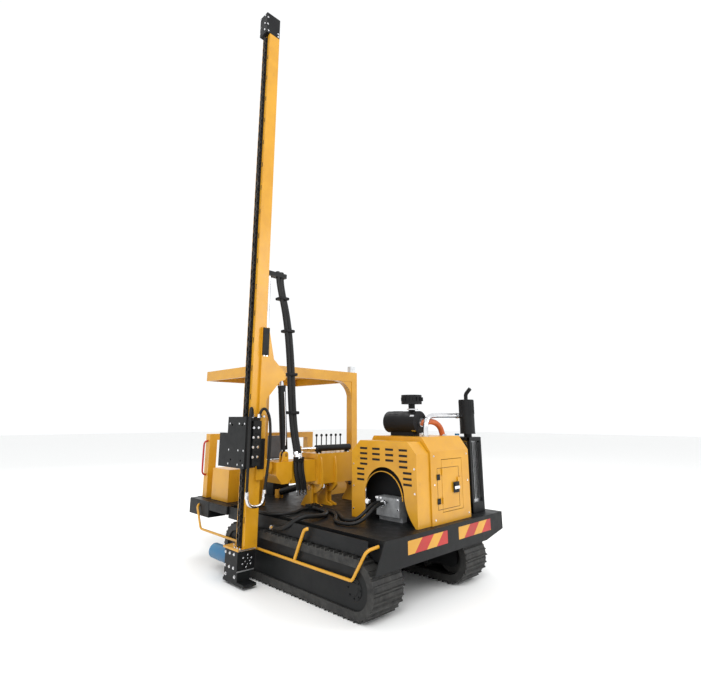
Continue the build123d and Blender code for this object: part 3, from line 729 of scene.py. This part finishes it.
# ---------------------------------------------------------------- deck
def clip_band(corners, low_y, high_y):
    """The part of a slanted band between two upright edges."""
    for limit, keep in ((low_y, 1), (high_y, -1)):
        kept = []
        for (ya, za), (yb, zb) in zip(corners, corners[1:] + corners[:1]):
            inside_a = (ya - limit) * keep >= 0
            inside_b = (yb - limit) * keep >= 0
            if inside_a:
                kept.append((ya, za))
            if inside_a != inside_b:
                share = (limit - ya) / (yb - ya)
                kept.append((limit, za + share * (zb - za)))
        corners = kept
        if not corners:
            return []
    return corners


def dress_deck():
    """Yellow sheets with red bands on the rear panels, a socket and an edge strip."""
    rear = DECK_LOW.x
    low_z = 535 * MM
    high_z = 661 * MM
    slant = 130 * MM
    period = 365 * MM
    red = 195 * MM
    first_red = 105 * MM
    red_t = 0.8 * MM
    for name, right, left in (("right", -1052, -372), ("left", -158, 513)):
        low_y = right * MM
        high_y = left * MM

        def build_bands(bm):
            for k in range(4):
                start = high_y - first_red - k * period
                corners = [
                    (start - red, low_z), (start, low_z),
                    (start - slant, high_z), (start - red - slant, high_z),
                ]
                band = clip_band(corners, low_y, high_y)
                if len(band) > 2:
                    add_slab(bm, [Vector((rear - red_t, y, z)) for y, z in band], X * red_t)

        mesh_piece(f"{name}_panel_bands", "chassis", "red_paint", build_bands)

        def build_sheet(bm):
            add_block(bm, (rear - 0.4 * MM, low_y, low_z), (rear + 1 * MM, high_y, high_z))

        mesh_piece(f"{name}_panel_sheet", "chassis", "yellow_paint", build_sheet)

    def build_socket(bm):
        face = Vector((rear, 0, 0))
        add_block(bm, face + point(0, -80, 565), face + point(3, 36, 640), 1 * MM)
        add_prism(bm, face + point(2, -22, 602), -X, 20 * MM, 2 * MM, 24)

    mesh_piece("rear_socket", "chassis", "bare_aluminium", build_socket)

    def build_edge(bm):
        add_block(
            bm, (rear + 10 * MM, 838 * MM, DECK_HIGH.z),
            (DECK_HIGH.x - 5 * MM, 846 * MM, DECK_HIGH.z + 4 * MM), 1 * MM,
        )

    mesh_piece("deck_edge_strip", "chassis", "black_paint", build_edge)


# ---------------------------------------------------------------- beam, cylinders and holder
def dress_beam():
    """Bolts and pin heads of the beam, the knuckle and the holder, and the gland's rings."""
    top = points(*((x, y, 1375) for x in (-255, 50) for y in (-660, -360, -60, 170)))
    bolts("sleeve_bolts", "sleeve", top, Z, 13 * MM)
    knuckle = points(*((x, y, 1305) for y in (700, 820) for x in (0, 40)))
    bolts("knuckle_bolts", "beam", knuckle, Z, 14 * MM)

    def build_fold_pins(bm):
        for y in (150, -100, -600):
            for side in (-1, 1):
                add_prism(bm, point(-103, y + side * 52, 940), Y * side, 34 * MM, 10 * MM)

    mesh_piece("fold_pin_heads", "chassis", "chrome", build_fold_pins)

    def build_tilt_pins(bm):
        for side in (-1, 1):
            add_prism(bm, TILT_FOOT + X * side * 39 * MM, X * side, 22 * MM, 8 * MM)

    mesh_piece("tilt_foot_pin_heads", "beam", "chrome", build_tilt_pins)
    web = points(*((-228, y, z) for z in (1250, 1550, 1850, 2600, 2850) for y in (1045, 1085)))
    bolts("holder_bolts", "holder", web, -X, 10 * MM)

    def build_gland(bm):
        direction = (TILT_EYE - TILT_FOOT).normalized()
        for back, length, radius in ((130, 30, 52), (190, 12, 50), (730, 14, 50)):
            spot = TILT_EYE - direction * back * MM
            add_prism(bm, spot, direction, radius * MM, length * MM, 32)

    mesh_piece("tilt_cylinder_gland", "tilt_barrel", "black_paint", build_gland)


def dress_tilt_line():
    """Stiff line along the tilt cylinder."""
    route = points((-240, 716, 1500), (-252, 722, 1600), (-250, 744, 1950), (-240, 760, 2160))
    tube("tilt_cylinder_line", "tilt_barrel", route, 7 * MM, "chrome")


# ---------------------------------------------------------------- canopy and operator station
def dress_canopy():
    """Fins, bezels and lenses of the lamp, and the grab handle on the front guard."""
    low, high = low_high("canopy_lamp")
    fins = 14
    rows = [low + point(0, 0, z) for z in (52, 90)]

    def build_fins(bm):
        for row in rows:
            add_block(bm, row + point(-1, 6, 0), row + point(1, 104, 10), 0.5 * MM)
        for k in range(fins):
            y = low.y + 10 * MM + k * (high.y - low.y - 20 * MM) / (fins - 1)
            add_block(
                bm, (low.x + 12 * MM, y - 1.5 * MM, high.z - 4 * MM),
                (high.x - 6 * MM, y + 1.5 * MM, high.z + 2 * MM),
            )

    mesh_piece("lamp_fins", "chassis", "bare_aluminium", build_fins)

    def build_lenses(bm):
        for row in rows:
            add_block(bm, row + point(-1.5, 10, 0), row + point(2, 100, 10), 0.5 * MM)

    mesh_piece("lamp_lenses", "chassis", "lamp_lens", build_lenses)
    side_y = low_high("front_guard")[1].y
    route = [
        Vector((1547 * MM, side_y + out * MM, z * MM))
        for out, z in (
            (-10, 1020), (30, 1020), (60, 1050), (62, 1120),
            (62, 1400), (60, 1470), (30, 1500), (-10, 1500),
        )
    ]
    tube("grab_handle", "chassis", route, 13 * MM, "red_paint")


def dress_levers():
    """Boots and round knobs of the levers."""
    low, high = low_high("control_levers")
    middle_x = (low.x + high.x) / 2

    def build(bm):
        for k in range(6):
            foot = Vector((middle_x, low.y + 19.5 * MM + k * 100 * MM, low.z))
            add_prism(bm, foot, Z, 22 * MM, 30 * MM, 20, 12 * MM)
            bmesh.ops.create_uvsphere(
                bm, u_segments=20, v_segments=12, radius=20 * MM,
                matrix=Matrix.Translation(foot + Z * 177 * MM),
            )

    mesh_piece("lever_knobs", "chassis", "matte_black", build, smooth=True)


def pad(name, node):
    """A crowned cushion in the place of a plain pad, with sewn channels."""
    low, high = low_high(node)
    size = high - low
    middle = (low + high) / 2
    thin = min(range(3), key=lambda k: size[k])
    seam_width = 0.035

    def build(bm):
        place = Matrix.Translation(middle) @ Matrix.Diagonal((*(size * 0.985), 1))
        bmesh.ops.create_cube(bm, size=1.0, matrix=place)
        bmesh.ops.bevel(
            bm, geom=list(bm.edges), offset=min(size) * 0.32, segments=4, affect="EDGES",
            profile=0.5,
        )
        bmesh.ops.subdivide_edges(bm, edges=list(bm.edges), cuts=3, use_grid_fill=True)
        for vert in bm.verts:
            local = [2 * (vert.co[k] - middle[k]) / size[k] for k in range(3)]
            across = [local[k] for k in range(3) if k != thin]
            crown = (1 - across[0] ** 2) * (1 - across[1] ** 2)
            channel = sum(
                math.exp(-(((across[1] - seam) / seam_width) ** 2)) for seam in (-0.5, 0.0, 0.5)
            )
            side = 1 if local[thin] > 0 else -1
            push = size[thin] * (0.02 * crown - 0.05 * channel * abs(local[thin]))
            vert.co[thin] += side * push

    obj = mesh_piece(name, "chassis", "seat_vinyl", build, smooth=True)
    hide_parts(node)
    return obj


# ---------------------------------------------------------------- free hoses
# strands of the bundle beside the mast: name, step forward, left and down, radius
MAST_STRANDS = (
    ("mast_hose", 0, 0, 0, 38),
    ("mast_hose_left", -18, 66, 26, 27),
    ("mast_hose_front", 58, -26, -14, 25),
)
# hoses under the beam's block: name, step left, radius
BEAM_STRANDS = (("beam_hose", 0, 29), ("beam_hose_left", 54, 24), ("beam_hose_right", -54, 24))


def union(name, body, place, direction, radius):
    """The octagonal fitting that a hose or a bundle ends in."""
    def build(bm):
        add_prism(bm, place - direction * 22 * MM, direction, radius + 5 * MM, 30 * MM, 8)
        add_prism(bm, place + direction * 8 * MM, direction, radius + 1 * MM, 20 * MM, 24)
        add_prism(bm, place + direction * 28 * MM, direction, radius + 4 * MM, 14 * MM, 8)

    return mesh_piece(name, body, "chrome", build)


def free_hose(name, body, route, radius, far_end):
    """A free hose as one smooth spline through its route's points."""
    places = points(*route)
    obj = tube(name, body, places, radius * MM, "hose_rubber")
    if far_end == "fitting":
        end = (places[-1] - places[-2]).normalized()
        union(f"{name}_union", body, places[-1], end, radius * MM)
    return obj


def dress_hoses():
    """Hoses on the deck, under the beam's block and beside the mast."""
    free_hose(
        "pump_hose", "chassis",
        (
            (-1427, 168, 909), (-1427, 270, 909), (-1424, 375, 872), (-1414, 455, 812),
            (-1386, 545, 752), (-1325, 625, 729), (-1220, 668, 730), (-1105, 640, 729),
            (-1005, 560, 730), (-905, 455, 729), (-790, 366, 730), (-650, 308, 731),
            (-495, 278, 731), (-340, 276, 731),
        ),
        19, "object",
    )
    free_hose(
        "pump_hose_second", "chassis",
        (
            (-1320, 168, 900), (-1320, 250, 900), (-1316, 325, 868), (-1300, 395, 812),
            (-1262, 455, 756), (-1190, 500, 729), (-1100, 505, 730), (-1010, 462, 729),
            (-915, 392, 730), (-800, 316, 729), (-660, 262, 730), (-500, 234, 731),
            (-340, 232, 731),
        ),
        19, "object",
    )
    free_hose(
        "deck_hose_bundle", "chassis",
        (
            (-340, 326, 736), (-480, 328, 736), (-620, 366, 738), (-740, 454, 742),
            (-815, 575, 745), (-835, 705, 752), (-815, 820, 770), (-765, 905, 744),
            (-690, 950, 684), (-590, 962, 630), (-480, 958, 604), (-375, 950, 600),
        ),
        26, "fitting",
    )
    free_hose(
        "deck_hose_loop", "chassis",
        (
            (-278, 366, 728), (-284, 440, 728), (-312, 530, 728), (-362, 615, 728),
            (-398, 705, 729), (-385, 795, 729), (-325, 868, 729), (-235, 915, 729),
            (-130, 932, 729), (-15, 932, 729), (90, 926, 729),
        ),
        19, "fitting",
    )
    for name, left, radius in BEAM_STRANDS:
        free_hose(
            name, "beam",
            [
                (x, y + left, z)
                for x, y, z in (
                    (-257, 512, 1290), (-262, 512, 1200), (-266, 492, 1110),
                    (-262, 464, 1020), (-254, 450, 935),
                )
            ],
            radius, "fitting",
        )
    bracket_z = 3700
    for name, forward, left, down, radius in MAST_STRANDS:
        free_hose(
            name, "mast_body",
            [
                (x + forward, y + left, z + (down if z < bracket_z else 0))
                for x, y, z in (
                    (-88, 774, 3782), (-88, 774, 3680), (-130, 764, 3480), (-182, 728, 3230),
                    (-190, 676, 2960), (-192, 638, 2680), (-190, 606, 2390), (-189, 584, 2100),
                    (-192, 560, 1850), (-208, 540, 1640), (-236, 522, 1480), (-262, 514, 1370),
                )
            ],
            radius, "fitting",
        )


def dress_blocks():
    """Block on the deck, block on the beam and the sleeves round the bundle beside the mast."""
    def build_manifold(bm):
        add_block(bm, point(-340, 212, 706.5), point(-215, 360, 768), 5 * MM)
        for y in (232, 276, 326):
            add_prism(bm, point(-342, y, 733), -X, 26 * MM, 30 * MM)
        for y in (232, 286, 340):
            add_bolt(bm, point(-278, y, 768), Z, 9 * MM)

    mesh_piece("deck_manifold", "chassis", "black_paint", build_manifold)

    def build_block(bm):
        add_block(bm, point(-292, 452, 1290), point(-228, 580, 1352), 5 * MM)
        for y in (470, 562):
            add_bolt(bm, point(-292, y, 1321), -X, 9 * MM)

    mesh_piece("hose_block", "beam", "black_paint", build_block)

    def build_clamps(bm):
        for spot in points(
            (-150, 770, 3400), (-190, 690, 2960), (-190, 622, 2390), (-190, 578, 1900)
        ):
            add_block(bm, spot - point(62, 66, 20), spot + point(76, 76, 20), 12 * MM)

    mesh_piece("bundle_clamps", "mast_body", "matte_black", build_clamps)


def dress_carriage_hoses():
    """Stiff hoses that loop from the valve down to the chrome return tube."""
    loops = (
        points(
            (-300, 1256, 1915), (-318, 1290, 1956), (-334, 1309, 1900), (-342, 1314, 1780),
            (-346, 1314, 1560), (-344, 1310, 1340), (-337, 1306, 1130),
        ),
        points(
            (-297, 1146, 1910), (-308, 1100, 1950), (-318, 1056, 1910), (-322, 1020, 1820),
            (-324, 1006, 1640), (-324, 1010, 1430), (-324, 1030, 1230), (-323, 1050, 1070),
        ),
    )
    for k, (top, loop, foot) in enumerate(zip(VALVE_ENDS, loops, RETURN_ENDS), 1):
        route = [top, *loop, foot]
        tube(f"carriage_hose_{k}", "carriage_body", route, 17 * MM, "hose_rubber")


def dress_intake():
    """Orange hose from the air filter down into the hood."""
    route = points(
        (-1610, -258, 1770), (-1638, -275, 1778), (-1652, -330, 1790), (-1654, -410, 1794),
        (-1654, -500, 1782), (-1654, -580, 1744), (-1652, -636, 1680), (-1650, -662, 1590),
    )
    tube("intake_hose", "chassis", route, 34 * MM, "orange_hose")

    def build_clamps(bm):
        add_prism(bm, point(-1632, -262, 1773), X, 40 * MM, 12 * MM, 32)
        add_prism(bm, point(-1651, -658, 1624), Z, 42 * MM, 16 * MM, 32)

    mesh_piece("intake_clamps", "chassis", "bare_aluminium", build_clamps)


# ---------------------------------------------------------------- louvres, cooler and side plates
# columns of louvres on the hood: middle, rows, middle of the rows beside the arch
LOUVRES = ((-1130, 7, -1080), (-1328, 3, -1328), (-1531, 3, -1531), (-1731, 7, -1785))
LOUVRE_TOP_Z = 1488
LOUVRE_PITCH = 59
UPPER_ROWS = 4


def dress_louvres():
    """Painted shade in the louvre slots, with a lip over each one."""
    spots = [
        Vector((
            (upper_x if row < UPPER_ROWS else lower_x) * MM, HOOD_HIGH.y,
            (LOUVRE_TOP_Z - row * LOUVRE_PITCH) * MM,
        ))
        for upper_x, rows, lower_x in LOUVRES
        for row in range(rows)
    ]

    # painted shade: near-black blocks over each slot opening where shade falls inside
    def build_slots(bm):
        for spot in spots:
            add_block(bm, spot - point(59, 2, 14), spot + point(59, 1.2, 12))

    mesh_piece("louvre_slot_shade", "chassis", "dark_slot", build_slots)

    def build_lips(bm):
        for spot in spots:
            add_block(bm, spot + point(-61, -1, 10), spot + point(61, 8, 17), 3 * MM)

    mesh_piece("louvre_lips", "chassis", "yellow_paint", build_lips)


def dress_cooler():
    """Dark posts, rails and base of the cooler, with painted shade in the gaps between its fins."""
    low, high = low_high("cooler")
    outer_low = low - point(6, 6, 0)
    outer_high = high + point(6, 6, 0)
    post = 40 * MM
    rail = 45 * MM
    slot_top_z = high.z - 60 * MM

    def build_frame(bm):
        add_block(bm, outer_low, (outer_high.x, outer_high.y, 830 * MM), 4 * MM)
        for x in (outer_low.x, outer_high.x - post):
            for y in (outer_low.y, outer_high.y - post):
                add_block(bm, (x, y, low.z), (x + post, y + post, high.z), 4 * MM)
        add_block(bm, (outer_low.x, outer_low.y, high.z - rail), outer_high, 4 * MM)

    mesh_piece("cooler_frame", "chassis", "black_paint", build_frame)

    # painted shade: near-black blocks standing for the shade in the gaps between the fins
    def build_slots(bm):
        gaps = 15
        pitch = (high.x - low.x - 120 * MM) / (gaps - 1)
        for k in range(gaps):
            x = low.x + 60 * MM + k * pitch
            for y in (low.y, high.y):
                add_block(
                    bm, (x - 11 * MM, y - 2 * MM, 860 * MM), (x + 11 * MM, y + 2 * MM, slot_top_z)
                )
        for k in range(6):
            y = low.y + (50 + 32 * k) * MM
            add_block(
                bm, (low.x - 2 * MM, y - 6 * MM, 870 * MM), (low.x + 2 * MM, y + 6 * MM, slot_top_z)
            )

    mesh_piece("cooler_gap_shade", "chassis", "dark_slot", build_slots)


def dress_sides():
    """Side plates inside the tracks' loops, sheets under the deck's edge, the guard's upright."""
    plate_radius = 196 * MM
    plate_t = 10 * MM
    gap = 2 * MM
    steps = 16
    for side, sign in (("left", 1), ("right", -1)):
        low, high = low_high(f"{side}_track_wheels")
        frame_low, frame_high = low_high(f"{side}_track_frame")
        y = (frame_high.y if sign > 0 else frame_low.y) + sign * gap
        reach = (high.z - low.z) / 2
        middle_z = (high.z + low.z) / 2

        def build_plate(bm):
            outline = []
            for centre_x, start in ((high.x - reach, -90), (low.x + reach, 90)):
                for k in range(steps + 1):
                    a = math.radians(start + 180 * k / steps)
                    x = centre_x + plate_radius * math.cos(a)
                    outline.append(Vector((x, y, middle_z + plate_radius * math.sin(a))))
            add_slab(bm, outline, Y * sign * plate_t)

        mesh_piece(f"{side}_side_plate", "chassis", "black_paint", build_plate)

    def build_sheets(bm):
        add_block(bm, point(-1880, 938, 563), point(640, 944, 705))
        add_block(bm, point(1120, 700, 500), point(1690, 972, 706), 10 * MM)
        add_block(bm, point(640, 700, 600), point(1120, 972, 706), 10 * MM)

    mesh_piece("deck_side_sheets", "chassis", "black_paint", build_sheets)
    guard_low, guard_high = low_high("side_guard")
    radius = 18 * MM
    y = guard_high.y - radius
    route = [
        Vector((-1030 * MM, y - 30 * MM, 690 * MM)),
        Vector((-1018 * MM, y - 6 * MM, 688 * MM)),
        Vector((-1000 * MM, y, 672 * MM)),
        Vector((-975 * MM, y, 630 * MM)),
        Vector((-870 * MM, y, 410 * MM)),
        Vector((-845 * MM, y, guard_low.z + radius)),
    ]
    tube("guard_upright", "chassis", route, radius, "yellow_paint")


def dress_bay():
    """Painted shade: a black sheet behind the arch that darkens the bay seen through it."""
    def build(bm):
        # painted shade: a thin black sheet down the middle of the hood, standing for the bay's dark
        # inside
        add_block(bm, point(-1895, -5.4, 708), point(-948, -1, 1448))

    mesh_piece("engine_bay_shade_sheet", "chassis", "matte_black", build)


def dress_corners():
    """Curved gussets between the canopy's posts and its roof."""
    roof_z = low_high("canopy_roof")[0].z
    inset = 8 * MM
    steps = 12

    def fillet(radius):
        """Steps across and down of a quarter circle, from the roof to the post."""
        return [
            (radius - radius * math.cos(a), radius - radius * math.sin(a))
            for a in (0.5 * math.pi * k / steps for k in range(steps + 1))
        ]

    def build(bm):
        for side, sign in (("right", 1), ("left", -1)):
            low, high = low_high(f"canopy_post_{side}")
            inner_y = high.y if sign > 0 else low.y
            sideways = [
                Vector((low.x + inset, inner_y + sign * across, roof_z - down))
                for across, down in ((0, 0), *fillet(300 * MM))
            ]
            add_slab(bm, sideways, X * (high.x - low.x - 2 * inset))
            forward = [
                Vector((high.x + across, low.y + inset, roof_z - down))
                for across, down in ((0, 0), *fillet(220 * MM))
            ]
            add_slab(bm, forward, Y * (high.y - low.y - 2 * inset))

    mesh_piece("canopy_gussets", "chassis", "yellow_paint", build)


def dress_exhaust():
    """Bright pipe from the silencer to the top of the hood."""
    route = points(
        (-1710, -990, 1862), (-1692, -900, 1866), (-1678, -760, 1868), (-1674, -600, 1869),
        (-1676, -440, 1867), (-1684, -330, 1848), (-1697, -258, 1790), (-1702, -235, 1712),
        (-1702, -235, 1618),
    )
    pipe = tube("exhaust_line", "chassis", route, 31 * MM, "chrome")
    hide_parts("exhaust_pipe")

    def build(bm):
        add_prism(bm, point(-1702, -235, 1624), Z, 42 * MM, 14 * MM, 32)
        add_prism(bm, point(-1694, -910, 1866), -Y, 36 * MM, 22 * MM, 32)

    mesh_piece("exhaust_collars", "chassis", "bare_aluminium", build)


dress_tracks()
dress_chain()
dress_mast()
dress_foot()
dress_carriage()
dress_hood()
dress_engine()
dress_deck()
dress_beam()
dress_tilt_line()
dress_canopy()
dress_levers()
dress_blocks()
dress_carriage_hoses()
dress_intake()
dress_louvres()
dress_cooler()
dress_sides()
dress_bay()
dress_corners()
dress_exhaust()
pad("seat_cushion_pad", "seat_cushion")
pad("seat_back_pad", "seat_back")
dress_hoses()
